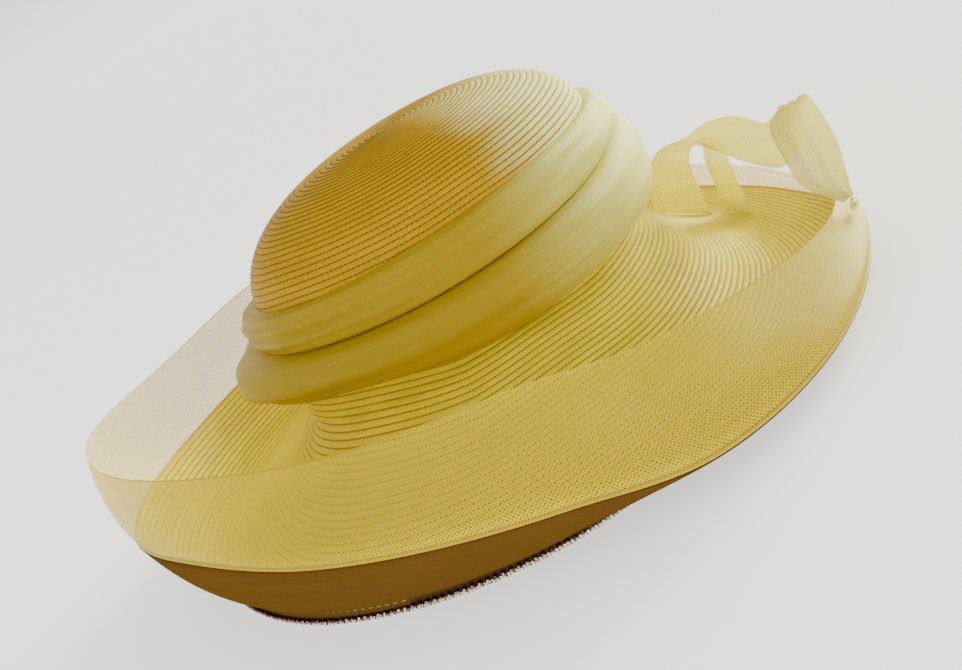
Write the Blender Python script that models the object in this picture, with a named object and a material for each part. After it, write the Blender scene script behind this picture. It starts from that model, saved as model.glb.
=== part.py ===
"""A wide dress hat: a sewn-braid crown and bell brim with a turned-up rim,
a sheer flange round the rim, a wound two-puff drape, a ribbon bow and a chain of stones.

Metres, +Z up. The crown's axis is the Z axis, and the hat rests on its chain of stones at Z = 0.
Azimuth 0 is +X, 90 is +Y, and 270 (-Y) is the side that faces the viewer.
"""

import math

import bmesh
import bpy
from mathutils import Matrix, Vector

MM = 0.001

# Driving sizes

CROWN_HALF_LENGTH = 99 * MM
CROWN_HALF_WIDTH = 87 * MM
SHOULDER_HEIGHT = 112 * MM
DOME_RISE = 42 * MM
HAT_LEAN = 5.5
STRAW_WALL = 2.0 * MM
SHEER_WALL = 1.2 * MM

HEAD_RING_HEIGHT = 57 * MM
COLLAR_HEIGHT = 9 * MM
TURN_RADIUS = 171 * MM
RIM_REACH = 40 * MM
RIM_RISE = 45 * MM
FLANGE_WIDTH = 60 * MM

DRAPE_BULGE = 20 * MM
DRAPE_HEIGHT = 56 * MM
FOLD_SHARE = 0.65
SEAT_GAP = 0.3 * MM

STONE_SIZE = 3.6 * MM
KNOT_AZIMUTH = 331
KNOT_LENGTH = 11 * MM
KNOT_THICKNESS = 5 * MM
RIBBON_WIDTH = 62 * MM

# How finely the round shapes are drawn

AZIMUTHS = 60
DOME_RINGS = 8
CONE_STEPS = 6
WALL_STEPS = 4
FLANGE_STEPS = 5
PUFF_STEPS = 6
RIBBON_STEPS = 2
KNOT_SIDES = 10
KNOT_RINGS = 5

# One row for each section of the brim, by azimuth in degrees.
# head: height of the head ring, as a share of HEAD_RING_HEIGHT
# turn: radius of the turn, as a share of TURN_RADIUS
# out, up: the rim beyond and above the turn, as shares of RIM_REACH and RIM_RISE
# lean, rise: the sheer's free edge in from and above the rim, as shares of FLANGE_WIDTH
BRIM_SECTIONS = (
    # azimuth, head, turn, out, up, lean, rise
    (0, 0.86, 0.95, 0.55, 0.02, 0.05, 0.24),
    (30, 0.93, 0.95, 0.50, 0.00, -0.05, 0.24),
    (60, 1.00, 1.00, 0.65, 0.20, 0.05, 0.50),
    (90, 1.00, 1.00, 0.80, 0.45, 0.10, 0.72),
    (120, 0.95, 1.00, 0.90, 0.70, 0.12, 0.80),
    (150, 0.80, 1.00, 0.95, 0.75, 0.05, 0.79),
    (180, 0.75, 1.00, 0.95, 0.95, -0.07, 0.81),
    (215, 0.95, 0.975, 0.96, 1.20, 0.20, 0.56),
    (240, 1.00, 0.975, 0.98, 0.98, 0.50, 0.50),
    (268, 1.00, 1.00, 0.88, 0.55, 0.68, 0.60),
    (285, 1.00, 1.00, 0.98, 0.20, 0.75, 0.62),
    (305, 0.95, 1.00, 1.05, 0.15, 0.62, 0.46),
    (332, 0.90, 0.99, 0.85, 0.18, 0.15, 0.22),
)

# One row for each section of the wound drape, by azimuth in degrees.
# top, fold, foot: heights above the head ring, as shares of DRAPE_HEIGHT
# upper, lower: how far the two puffs stand off the crown, as shares of DRAPE_BULGE
DRAPE_SECTIONS = (
    # azimuth, top, fold, foot, upper, lower
    (0, 1.06, 0.78, 0.03, 0.55, 1.00),
    (60, 1.05, 0.74, 0.04, 0.50, 0.95),
    (120, 1.02, 0.66, 0.04, 0.50, 0.90),
    (180, 1.00, 0.70, 0.20, 0.65, 1.38),
    (225, 1.04, 0.67, 0.26, 0.55, 1.38),
    (270, 1.08, 0.64, 0.05, 0.50, 0.95),
    (315, 1.08, 0.66, 0.03, 0.50, 1.00),
)

# The bow is one ribbon from the knot up into a leaf, over its peak, and on in an arch to a curl
# that lies on the brim, and a second strip that hangs from the twist where the arch turns down.
# One row for each bend: x, y and z of the ribbon's two edges from the knot, as shares of
# RIBBON_WIDTH, and how far its middle swells out between them, as a share of the row's width.
BOW_BENDS = (
    # x1, y1, z1, x2, y2, z2, swell
    (-0.06, -0.01, 0.060, 0.03, 0.02, 0.055, 0.00),
    (-0.22, 0.18, 0.25, 0.09, 0.11, 0.20, 0.10),
    (-0.20, 0.40, 0.45, 0.17, 0.24, 0.39, 0.15),
    (-0.14, 0.58, 0.65, 0.21, 0.40, 0.59, 0.15),
    (0.01, 0.68, 0.71, 0.21, 0.53, 0.75, 0.05),
    (0.03, 0.74, 0.70, 0.22, 0.80, 0.58, 0.00),
    (0.01, 0.78, 0.66, 0.09, 0.85, 0.30, 0.00),
    (-0.08, 0.84, 0.62, -0.10, 0.91, 0.20, 0.05),
    (-0.19, 1.11, 0.71, -0.25, 1.18, 0.29, 0.10),
    (-0.33, 1.47, 0.68, -0.34, 1.47, 0.39, 0.10),
    (-0.48, 1.73, 0.58, -0.42, 1.69, 0.47, 0.00),
    (-0.68, 1.95, 0.54, -0.46, 1.82, 0.44, -0.10),
    (-0.81, 2.08, 0.41, -0.52, 1.92, 0.29, -0.12),
    (-0.90, 2.24, 0.14, -0.52, 2.02, 0.03, -0.10),
    (-0.93, 2.34, -0.30, -0.51, 2.11, -0.40, 0.00),
)
TAIL_BENDS = (
    # x1, y1, z1, x2, y2, z2, swell
    (-0.36, 1.70, 0.55, -0.31, 1.60, 0.49, 0.00),
    (-0.36, 1.76, 0.46, -0.28, 1.55, 0.40, 0.10),
    (-0.39, 1.90, 0.22, -0.29, 1.57, 0.15, 0.12),
    (-0.40, 2.00, -0.30, -0.30, 1.65, -0.40, 0.00),
)


def clear_scene():
    for thing in list(bpy.data.objects):
        bpy.data.objects.remove(thing, do_unlink=True)


def material(name, colour, roughness, alpha=1.0):
    made = bpy.data.materials.new(name)
    made.use_nodes = True
    shader = made.node_tree.nodes["Principled BSDF"]
    shader.inputs["Base Color"].default_value = (*colour, 1.0)
    shader.inputs["Roughness"].default_value = roughness
    shader.inputs["Metallic"].default_value = 0.0
    shader.inputs["Alpha"].default_value = alpha
    return made


def section_values(table, azimuth):
    """The table's columns at an azimuth in degrees, as a smooth closed curve through its rows."""
    count = len(table)
    index = count - 1
    for i, row in enumerate(table):
        if row[0] <= azimuth:
            index = i
    rows = [table[(index + k) % count] for k in (-1, 0, 1, 2)]
    start = rows[1][0]
    gap = (rows[2][0] - start) % 360
    before = (start - rows[0][0]) % 360
    after = (rows[3][0] - rows[2][0]) % 360
    t = ((azimuth - start) % 360) / gap
    values = []
    for column in range(1, len(table[0])):
        a, b, c, d = (row[column] for row in rows)
        slope_b = (c - a) / (gap + before) * gap
        slope_c = (d - b) / (gap + after) * gap
        h = (2 * t**3 - 3 * t**2 + 1, t**3 - 2 * t**2 + t, -2 * t**3 + 3 * t**2, t**3 - t**2)
        values.append(h[0] * b + h[1] * slope_b + h[2] * c + h[3] * slope_c)
    return values


def place(radius, azimuth, height):
    """A point at a radius and height, moved towards +X as the leaning crown's axis is."""
    lean = height * math.tan(math.radians(HAT_LEAN))
    return (radius * math.cos(azimuth) + lean, radius * math.sin(azimuth), height)


def crown_radius(azimuth):
    """The crown wall's outer radius on its oval, at an azimuth in radians."""
    c, s = math.cos(azimuth), math.sin(azimuth)
    return 1 / math.hypot(c / CROWN_HALF_LENGTH, s / CROWN_HALF_WIDTH)


def bezier(a, b, c, d, steps):
    points = []
    for i in range(steps + 1):
        t = i / steps
        w = ((1 - t) ** 3, 3 * t * (1 - t) ** 2, 3 * t * t * (1 - t), t**3)
        points.append(tuple(sum(k * p[n] for k, p in zip(w, (a, b, c, d))) for n in (0, 1)))
    return points


def offset(profile, wall):
    """The profile moved sideways by the wall, to the right of its direction of travel."""
    moved = []
    last = len(profile) - 1
    for i, (r, z) in enumerate(profile):
        before, after = profile[max(i - 1, 0)], profile[min(i + 1, last)]
        dr, dz = after[0] - before[0], after[1] - before[1]
        length = math.hypot(dr, dz)
        moved.append((r + dz / length * wall, z - dr / length * wall))
    return moved


def ring_body(name, section, finish):
    """A closed ring whose cross-section at each azimuth is the closed loop section(azimuth)."""
    mesh = bpy.data.meshes.new(name)
    shape = bmesh.new()
    loops = []
    for i in range(AZIMUTHS):
        azimuth = 2 * math.pi * i / AZIMUTHS
        loops.append([shape.verts.new(place(r, azimuth, z)) for r, z in section(azimuth)])
    for i, loop in enumerate(loops):
        following = loops[(i + 1) % AZIMUTHS]
        size = len(loop)
        for j in range(size):
            k = (j + 1) % size
            shape.faces.new((loop[j], loop[k], following[k], following[j]))
    return finish_body(name, mesh, shape, finish)


def finish_body(name, mesh, shape, finish):
    bmesh.ops.recalc_face_normals(shape, faces=shape.faces)
    shape.to_mesh(mesh)
    shape.free()
    mesh.shade_smooth()
    mesh.set_sharp_from_angle(angle=math.radians(50))
    body = bpy.data.objects.new(name, mesh)
    body.data.materials.append(finish)
    bpy.context.scene.collection.objects.link(body)
    return body


# The brim, from its collar round the crown down the bell, round the turn and up to the rim

def brim_profile(azimuth):
    head, turn, out, up, _, _ = section_values(BRIM_SECTIONS, math.degrees(azimuth))
    collar = crown_radius(azimuth) + SEAT_GAP + STRAW_WALL
    head_z = head * HEAD_RING_HEIGHT
    floor_z = STONE_SIZE + SEAT_GAP + STRAW_WALL
    turn_r = turn * TURN_RADIUS
    rim = (turn_r + out * RIM_REACH, floor_z + up * RIM_RISE)
    run = turn_r - collar
    fall = head_z - floor_z
    cone = bezier((collar, head_z), (collar + 0.18 * run, head_z - 0.30 * fall),
                  (collar + 0.62 * run, floor_z + 0.02 * fall), (turn_r, floor_z), CONE_STEPS)
    wide = rim[0] - turn_r
    tall = rim[1] - floor_z
    wall = bezier((turn_r, floor_z), (turn_r + 0.45 * wide, floor_z + 0.02 * tall),
                  (turn_r + 0.80 * wide, floor_z + 0.45 * tall), rim, WALL_STEPS)
    return [(collar, head_z + COLLAR_HEIGHT)] + cone + wall[1:]


def brim_section(azimuth):
    top = brim_profile(azimuth)
    under = offset(top, STRAW_WALL)
    under[0] = (top[0][0] - STRAW_WALL, top[0][1])
    under[1] = (top[0][0] - STRAW_WALL, under[1][1])
    return top + under[::-1]


# The sheer flange, sewn to the outside of the rim

def flange_profile(azimuth):
    _, _, out, up, lean, rise = section_values(BRIM_SECTIONS, math.degrees(azimuth))
    rim_r, rim_z = brim_profile(azimuth)[-1]
    edge = (rim_r - lean * FLANGE_WIDTH, rim_z + rise * FLANGE_WIDTH)
    return rim_r, rim_z, edge


def flange_inner(azimuth):
    rim_r, rim_z, edge = flange_profile(azimuth)
    start = (rim_r + SEAT_GAP, rim_z + SEAT_GAP)
    bulge = 0.10 * FLANGE_WIDTH
    return bezier(start, (start[0] + bulge, start[1] + 0.25 * (edge[1] - start[1])),
                  (edge[0] + bulge, edge[1] - 0.35 * (edge[1] - start[1])), edge, FLANGE_STEPS)


def flange_section(azimuth):
    inner = flange_inner(azimuth)
    outer = offset(inner, SHEER_WALL)
    return inner + outer[::-1]


# The crown: an oval dome on a straight wall, open below

def crown_section_rings():
    """Rings of the crown's outer face from its foot to the apex, as (scale, height)."""
    rings = []
    for i in range(DOME_RINGS):
        angle = i / DOME_RINGS * math.pi / 2
        rings.append((math.cos(angle) ** 0.72, SHOULDER_HEIGHT + DOME_RISE * math.sin(angle)))
    return rings


def crown(finish):
    mesh = bpy.data.meshes.new("crown")
    shape = bmesh.new()

    def ring(shrink, scale, height):
        verts = []
        for i in range(AZIMUTHS):
            azimuth = 2 * math.pi * i / AZIMUTHS
            head = section_values(BRIM_SECTIONS, math.degrees(azimuth))[0] * HEAD_RING_HEIGHT
            z = head if height is None else height
            r = (crown_radius(azimuth) - shrink) * scale
            verts.append(shape.verts.new(place(r, azimuth, z)))
        return verts

    outer = [ring(0, 1, None)] + [ring(0, s, z) for s, z in crown_section_rings()]
    inner = [ring(STRAW_WALL, 1, None)]
    inner += [ring(STRAW_WALL, s, z - STRAW_WALL * (z - SHOULDER_HEIGHT) / DOME_RISE)
              for s, z in crown_section_rings()]
    top = shape.verts.new(place(0, 0, SHOULDER_HEIGHT + DOME_RISE))
    ceiling = shape.verts.new(place(0, 0, SHOULDER_HEIGHT + DOME_RISE - STRAW_WALL))
    for rings, pole in ((outer, top), (inner, ceiling)):
        for low, high in zip(rings, rings[1:]):
            for i in range(AZIMUTHS):
                k = (i + 1) % AZIMUTHS
                shape.faces.new((low[i], low[k], high[k], high[i]))
        for i in range(AZIMUTHS):
            shape.faces.new((rings[-1][i], rings[-1][(i + 1) % AZIMUTHS], pole))
    for i in range(AZIMUTHS):
        k = (i + 1) % AZIMUTHS
        shape.faces.new((outer[0][i], outer[0][k], inner[0][k], inner[0][i]))
    return finish_body("crown", mesh, shape, finish)


# The drape: two puffs of sheer cloth wound round the crown

def puff(foot, top, reach):
    """A thin C-shaped section from its foot to its top, whose middle stands out to the reach."""
    tall = top[1] - foot[1]
    pull = (reach - 0.125 * (foot[0] + top[0])) / 0.75
    outer = bezier(foot, (pull, foot[1] - 0.02 * tall), (pull, top[1] - 0.12 * tall), top, PUFF_STEPS)
    inner = offset(outer, -SHEER_WALL)
    inner[0] = (foot[0], foot[1] + SHEER_WALL)
    inner[-1] = (top[0], top[1] - SHEER_WALL)
    return outer + inner[::-1]


def drape_points(azimuth):
    """The drape's top, its fold and its foot, and how far its two puffs reach out."""
    top, fold, foot, upper, lower = section_values(DRAPE_SECTIONS, math.degrees(azimuth))
    wall = crown_radius(azimuth)
    return ((wall + SEAT_GAP, HEAD_RING_HEIGHT + top * DRAPE_HEIGHT),
            (wall + FOLD_SHARE * upper * DRAPE_BULGE, HEAD_RING_HEIGHT + fold * DRAPE_HEIGHT),
            (wall + STRAW_WALL + 2 * SEAT_GAP, HEAD_RING_HEIGHT + foot * DRAPE_HEIGHT),
            wall + upper * DRAPE_BULGE, wall + lower * DRAPE_BULGE)


def upper_section(azimuth):
    top, fold, _, upper, _ = drape_points(azimuth)
    return puff((fold[0], fold[1] + SEAT_GAP), top, upper)


def lower_section(azimuth):
    _, fold, foot, _, lower = drape_points(azimuth)
    return puff(foot, fold, lower)


# The chain of stones, a flat-bottomed tube round the outside of the turn

def chain_section(azimuth):
    turn = section_values(BRIM_SECTIONS, math.degrees(azimuth))[1] * TURN_RADIUS
    half = STONE_SIZE / 2
    points = []
    for i in range(6):
        angle = math.radians(60 * i)
        points.append((turn + half * math.cos(angle) / math.cos(math.radians(30)),
                       half + half * math.sin(angle) / math.cos(math.radians(30))))
    return points


# The bow: its knot is sewn to the outside of the flange, and its ribbon starts on the knot

def knot_centre():
    azimuth = math.radians(KNOT_AZIMUTH)
    r, z = offset(flange_inner(azimuth), SHEER_WALL + 2 * SEAT_GAP + KNOT_THICKNESS / 2)[-1]
    return Vector(place(r, azimuth, z))


def bow_knot(finish):
    """A gathered knot: a squeezed ball that is longest along the rim."""
    mesh = bpy.data.meshes.new("bow_knot")
    shape = bmesh.new()
    bmesh.ops.create_uvsphere(shape, u_segments=KNOT_SIDES, v_segments=KNOT_RINGS * 2, radius=0.5)
    turn = Matrix.Rotation(math.radians(KNOT_AZIMUTH), 4, "Z")
    size = Matrix.Diagonal((KNOT_THICKNESS, KNOT_LENGTH, KNOT_THICKNESS, 1))
    bmesh.ops.transform(shape, matrix=Matrix.Translation(knot_centre()) @ turn @ size,
                        verts=shape.verts)
    return finish_body("bow_knot", mesh, shape, finish)


def brim_height(x, y):
    """The height of the brim's upper face above a point of the floor."""
    z = 0
    for _ in range(3):
        px = x - z * math.tan(math.radians(HAT_LEAN))
        azimuth = math.atan2(y, px) % (2 * math.pi)
        r = math.hypot(px, y)
        for low, high in zip(brim_profile(azimuth)[1:], brim_profile(azimuth)[2:]):
            if low[0] <= r <= high[0]:
                z = low[1] + (high[1] - low[1]) * (r - low[0]) / (high[0] - low[0])
    return z


def smooth_rows(rows):
    """Rows between the given ones, on a smooth curve through them."""
    finer = []
    last = len(rows) - 1
    for i in range(last):
        a, b = rows[max(i - 1, 0)], rows[i]
        c, d = rows[i + 1], rows[min(i + 2, last)]
        for step in range(RIBBON_STEPS):
            t = step / RIBBON_STEPS
            finer.append([0.5 * (2 * q + (r - p) * t + (2 * p - 5 * q + 4 * r - s) * t * t
                                 + (3 * q - p - 3 * r + s) * t**3)
                          for p, q, r, s in zip(a, b, c, d)])
    return finer + [list(rows[-1])]


def ribbon(name, bends, finish):
    """A strip of SHEER_WALL thickness through its bends, lying on the brim where it meets it."""
    mesh = bpy.data.meshes.new(name)
    shape = bmesh.new()
    knot = knot_centre()
    lines = []
    for x1, y1, z1, x2, y2, z2, swell in smooth_rows(bends):
        edges = [knot + Vector((x1, y1, z1)) * RIBBON_WIDTH, knot + Vector((x2, y2, z2)) * RIBBON_WIDTH]
        for point in edges:
            point.z = max(point.z, brim_height(point.x, point.y) + 2 * SEAT_GAP)
        lines.append((edges[0], edges[1], swell))
    sides = ([], [])
    for i, (first, second, swell) in enumerate(lines):
        before, after = lines[max(i - 1, 0)], lines[min(i + 1, len(lines) - 1)]
        along = (after[0] + after[1] - before[0] - before[1]).normalized()
        across = second - first
        normal = along.cross(across).normalized()
        middle = (first + second) / 2 + normal * swell * across.length
        for side, sign in zip(sides, (0.5, -0.5)):
            side.append([shape.verts.new(point + normal * sign * SHEER_WALL)
                         for point in (first, middle, second)])
    upper, lower = sides
    for i in range(len(lines) - 1):
        for k in range(2):
            shape.faces.new((upper[i][k], upper[i][k + 1], upper[i + 1][k + 1], upper[i + 1][k]))
            shape.faces.new((lower[i][k + 1], lower[i][k], lower[i + 1][k], lower[i + 1][k + 1]))
        for k in (0, 2):
            shape.faces.new((upper[i][k], upper[i + 1][k], lower[i + 1][k], lower[i][k]))
    for i in (0, -1):
        for k in range(2):
            shape.faces.new((upper[i][k], upper[i][k + 1], lower[i][k + 1], lower[i][k]))
    return finish_body(name, mesh, shape, finish)


def centre(bodies):
    """Hang all the bodies on one empty that puts the middle of the whole hat over the origin."""
    hat = bpy.data.objects.new("hat", None)
    bpy.context.scene.collection.objects.link(hat)
    corners = [vertex.co for body in bodies for vertex in body.data.vertices]
    for axis in (0, 1):
        values = [corner[axis] for corner in corners]
        hat.location[axis] = -(min(values) + max(values)) / 2
    for body in bodies:
        body.parent = hat


def build():
    clear_scene()
    braid = material("braid", (0.62, 0.47, 0.14), 0.45)
    crin = material("crin", (0.80, 0.72, 0.36), 0.40, alpha=0.6)
    stone = material("stone", (0.75, 0.70, 0.66), 0.15)
    centre([
        crown(braid),
        ring_body("brim", brim_section, braid),
        ring_body("brim_flange", flange_section, crin),
        ring_body("upper_drape", upper_section, crin),
        ring_body("lower_drape", lower_section, crin),
        ring_body("rhinestone_chain", chain_section, stone),
        bow_knot(crin),
        ribbon("bow_ribbon", BOW_BENDS, crin),
        ribbon("bow_tail", TAIL_BENDS, crin),
    ])


build()
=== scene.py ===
"""The looks of a wide dress hat: sewn braid, sheer crin cloth, drape, bow and chain of stones.

Metres, +Z up. Azimuth 0 is +X, 90 is +Y, and 270 (-Y) is the side that faces the viewer.
Every ring of cloth or braid is a grid whose crossings are placed by the hat's own sections.
"""

import functools
import math

import bpy
from mathutils import Matrix, Vector


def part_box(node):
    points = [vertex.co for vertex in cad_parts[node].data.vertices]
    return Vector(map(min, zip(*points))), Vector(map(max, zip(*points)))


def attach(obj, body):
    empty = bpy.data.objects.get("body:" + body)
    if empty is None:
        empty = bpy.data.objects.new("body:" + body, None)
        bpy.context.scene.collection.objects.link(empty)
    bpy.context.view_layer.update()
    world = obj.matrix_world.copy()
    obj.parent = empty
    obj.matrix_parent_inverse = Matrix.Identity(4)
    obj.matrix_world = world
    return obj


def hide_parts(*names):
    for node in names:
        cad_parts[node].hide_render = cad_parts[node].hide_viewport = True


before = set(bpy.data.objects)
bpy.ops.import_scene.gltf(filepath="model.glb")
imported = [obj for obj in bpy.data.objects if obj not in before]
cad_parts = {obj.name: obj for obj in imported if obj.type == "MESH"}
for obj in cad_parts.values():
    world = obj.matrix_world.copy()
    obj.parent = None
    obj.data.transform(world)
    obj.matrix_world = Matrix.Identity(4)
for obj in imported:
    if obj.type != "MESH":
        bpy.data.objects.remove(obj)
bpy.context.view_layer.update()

MM = 0.001
FULL_TURN = 2 * math.pi

# The hat's own sizes

CROWN_HALF_LENGTH = 99 * MM
CROWN_HALF_WIDTH = 87 * MM
SHOULDER_HEIGHT = 112 * MM
DOME_RISE = 42 * MM
DOME_SQUARENESS = 0.72
HAT_LEAN = math.radians(5.5)
STRAW_WALL = 2.0 * MM
SHEER_WALL = 1.2 * MM
HEAD_RING_HEIGHT = 57 * MM
COLLAR_HEIGHT = 9 * MM
COLLAR_TUCK = 4 * MM
TURN_RADIUS = 171 * MM
RIM_REACH = 40 * MM
RIM_RISE = 45 * MM
FLANGE_WIDTH = 60 * MM
DRAPE_BULGE = 20 * MM
DRAPE_HEIGHT = 56 * MM
FOLD_SHARE = 0.65
SEAT_GAP = 0.3 * MM
STONE_SIZE = 3.6 * MM
KNOT_AZIMUTH = 331
KNOT_LENGTH = 11 * MM
KNOT_THICKNESS = 5 * MM
KNOT_UP_FLANGE = 0.70
RIBBON_WIDTH = 62 * MM

# What the finish adds to those sizes

BRAID_PITCH = 3.2 * MM
BRAID_RISE = 0.5 * MM
BRAID_THICKNESS = 1.1 * MM
STITCH_PITCH = 1.5 * MM
CLOTH_THICKNESS = 0.4 * MM
FACING_OFFSET = 1.7 * MM
SKIRT_FOOT = 0.8 * MM
PIPING_RADIUS = 1.1 * MM
CHAIN_OUT = 4 * MM
CHAIN_OUT_PER_RISE = 0.16
STONE_COUNT = 300
STONE_TILT = math.radians(24)
STONE_WOBBLE_DEGREES = 9
DASH_COUNT = 250
DASH_SIZE = (0.35 * MM, 2.6 * MM, 0.45 * MM)
DASH_HEIGHT = 7.5 * MM
CROWN_RUN = SHOULDER_HEIGHT - HEAD_RING_HEIGHT + DOME_RISE + CROWN_HALF_WIDTH * 0.86
CROWN_ROWS = round(CROWN_RUN / BRAID_PITCH)
CROWN_STITCHES = round(FULL_TURN * CROWN_HALF_LENGTH * 0.93 / STITCH_PITCH)
BRIM_RUN = 150 * MM
BRIM_ROWS = round(BRIM_RUN / BRAID_PITCH)
BRIM_STITCHES = round(FULL_TURN * TURN_RADIUS * 0.9 / STITCH_PITCH)
# How far the crown's painted highlight is turned from +X towards the near side
PAINTED_HIGHLIGHT_TURN = math.radians(22)
DRAPE_LENGTH = FULL_TURN * (CROWN_HALF_LENGTH + DRAPE_BULGE * 0.5)
PUFF_WIDTHS = (0.056, 0.028)
BOW_LENGTH = 0.250
TAIL_LENGTH = 0.052

# Points of the profiles, and crossings of each cloth: round the hat or along it, and across it

DOME_STEPS = 40
CONE_STEPS = 24
WALL_STEPS = 12
FLANGE_STEPS = 16
PUFF_STEPS = 24
MERGE_DISTANCE = 0.01 * MM
CROWN_GRID = (176, CROWN_ROWS * 4)
BRIM_GRID = (216, BRIM_ROWS * 4)
FLANGE_GRID = (240, 24)
FACING_GRID = (240, 14)
PIPING_GRID = (300, 10)
PUFF_GRID = (200, 36)
COLUMNS_PER_BEND = 12
RIBBON_ROWS = 16
RIBBON_STEP = 0.004

# How far the weave runs in millimetres, where that isn't the cloth's own run

FACING_WEAVE = 40
PIPING_WEAVE = (1250, 7)
RIBBON_WEAVE = 22

# The folds of the wound cloth, in millimetres and degrees; the pairs are the lower and upper puff's

PLEAT_DEPTH = 0.9
RIPPLE_DEPTH = 0.2
GATHER_DEPTH = 0.6
GATHERED_AT = (200, 215)
LAP_DEPTHS = (0.9, 0)
LAP_AT = 236
LAP_SLANT = 30
LAP_EDGE = 0.03
LAP_FADE = 1.2

# Sections of the brim by azimuth. head: the head ring as a share of HEAD_RING_HEIGHT.
# turn: the valley's radius as a share of TURN_RADIUS. out, up: the rim beyond and above the
# valley, as shares of RIM_REACH and RIM_RISE. lean, rise: the sheer's free edge in from and
# above the rim, as shares of FLANGE_WIDTH.
BRIM_SECTIONS = (
    # azimuth, head, turn, out, up, lean, rise
    (0, 0.86, 0.95, 0.55, 0.02, 0.05, 0.24),
    (30, 0.93, 0.95, 0.50, 0.00, -0.05, 0.24),
    (60, 1.00, 1.00, 0.65, 0.20, 0.05, 0.50),
    (90, 1.00, 1.00, 0.80, 0.45, 0.10, 0.72),
    (120, 0.95, 1.00, 0.90, 0.70, 0.12, 0.80),
    (150, 0.80, 1.00, 0.95, 0.75, 0.05, 0.79),
    (180, 0.75, 1.00, 0.95, 0.95, -0.07, 0.81),
    (215, 0.95, 0.975, 0.96, 1.20, 0.20, 0.56),
    (240, 1.00, 0.975, 0.98, 0.98, 0.50, 0.50),
    (268, 1.00, 1.00, 0.88, 0.55, 0.68, 0.60),
    (285, 1.00, 1.00, 0.98, 0.20, 0.75, 0.62),
    (305, 0.95, 1.00, 1.05, 0.15, 0.62, 0.46),
    (332, 0.90, 0.99, 0.85, 0.18, 0.15, 0.22),
)

# Sections of the wound drape by azimuth. top, fold, foot: heights above the head ring, as shares
# of DRAPE_HEIGHT. upper, lower: how far the puffs stand off, as shares of DRAPE_BULGE.
DRAPE_SECTIONS = (
    # azimuth, top, fold, foot, upper, lower
    (0, 1.06, 0.78, 0.03, 0.55, 1.00),
    (60, 1.05, 0.74, 0.04, 0.50, 0.95),
    (120, 1.02, 0.66, 0.04, 0.50, 0.90),
    (180, 1.00, 0.70, 0.20, 0.65, 1.38),
    (225, 1.04, 0.67, 0.26, 0.55, 1.38),
    (270, 1.08, 0.64, 0.05, 0.50, 0.95),
    (315, 1.08, 0.66, 0.03, 0.50, 1.00),
)

# Bends of the bow's ribbon: its two edges from the knot, as shares of RIBBON_WIDTH, and how far
# its middle swells out between them, as a share of the row's width.
BOW_BENDS = (
    # x1, y1, z1, x2, y2, z2, swell
    (-0.06, -0.01, 0.060, 0.03, 0.02, 0.055, 0.00),
    (-0.22, 0.18, 0.25, 0.09, 0.11, 0.20, 0.10),
    (-0.20, 0.40, 0.45, 0.17, 0.24, 0.39, 0.15),
    (-0.14, 0.58, 0.65, 0.21, 0.40, 0.59, 0.15),
    (0.01, 0.68, 0.71, 0.21, 0.53, 0.75, 0.05),
    (0.03, 0.74, 0.70, 0.22, 0.80, 0.58, 0.00),
    (0.01, 0.78, 0.66, 0.09, 0.85, 0.30, 0.00),
    (-0.08, 0.84, 0.62, -0.10, 0.91, 0.20, 0.05),
    (-0.19, 1.11, 0.71, -0.25, 1.18, 0.29, 0.10),
    (-0.33, 1.47, 0.68, -0.34, 1.47, 0.39, 0.10),
    (-0.48, 1.73, 0.58, -0.42, 1.69, 0.47, 0.00),
    (-0.68, 1.95, 0.54, -0.46, 1.82, 0.44, -0.10),
    (-0.81, 2.08, 0.41, -0.52, 1.92, 0.29, -0.12),
    (-0.90, 2.24, 0.14, -0.52, 2.02, 0.03, -0.10),
    (-0.93, 2.34, -0.30, -0.51, 2.11, -0.40, 0.00),
)
TAIL_BENDS = (
    # x1, y1, z1, x2, y2, z2, swell
    (-0.36, 1.70, 0.55, -0.31, 1.60, 0.49, 0.00),
    (-0.36, 1.76, 0.46, -0.28, 1.55, 0.40, 0.10),
    (-0.39, 1.90, 0.22, -0.29, 1.57, 0.15, 0.12),
    (-0.40, 2.00, -0.30, -0.30, 1.65, -0.40, 0.00),
)


# Sections and profiles, as (radius, height) lines at an azimuth in radians

def smooth(a, b, c, d, before, gap, after, t):
    """A smooth curve from b to c that knows its neighbours a and d and the gaps between them."""
    slope_b = (c - a) / (gap + before) * gap
    slope_c = (d - b) / (gap + after) * gap
    return ((2 * t**3 - 3 * t**2 + 1) * b + (t**3 - 2 * t**2 + t) * slope_b
            + (-2 * t**3 + 3 * t**2) * c + (t**3 - t**2) * slope_c)


@functools.lru_cache(maxsize=None)
def section_values(table, azimuth):
    """The table's columns at an azimuth in degrees."""
    count = len(table)
    index = max((i for i, row in enumerate(table) if row[0] <= azimuth), default=count - 1)
    rows = [table[(index + k) % count] for k in (-1, 0, 1, 2)]
    before, gap, after = ((rows[k + 1][0] - rows[k][0]) % 360 for k in (0, 1, 2))
    t = ((azimuth - rows[1][0]) % 360) / gap
    return [smooth(*(row[column] for row in rows), before, gap, after, t)
            for column in range(1, len(table[0]))]


def crown_radius(azimuth):
    return 1 / math.hypot(math.cos(azimuth) / CROWN_HALF_LENGTH,
                          math.sin(azimuth) / CROWN_HALF_WIDTH)


def bezier(a, b, c, d, steps):
    points = []
    for i in range(steps + 1):
        t = i / steps
        w = ((1 - t) ** 3, 3 * t * (1 - t) ** 2, 3 * t * t * (1 - t), t**3)
        points.append(tuple(sum(k * p[n] for k, p in zip(w, (a, b, c, d))) for n in (0, 1)))
    return points


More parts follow.
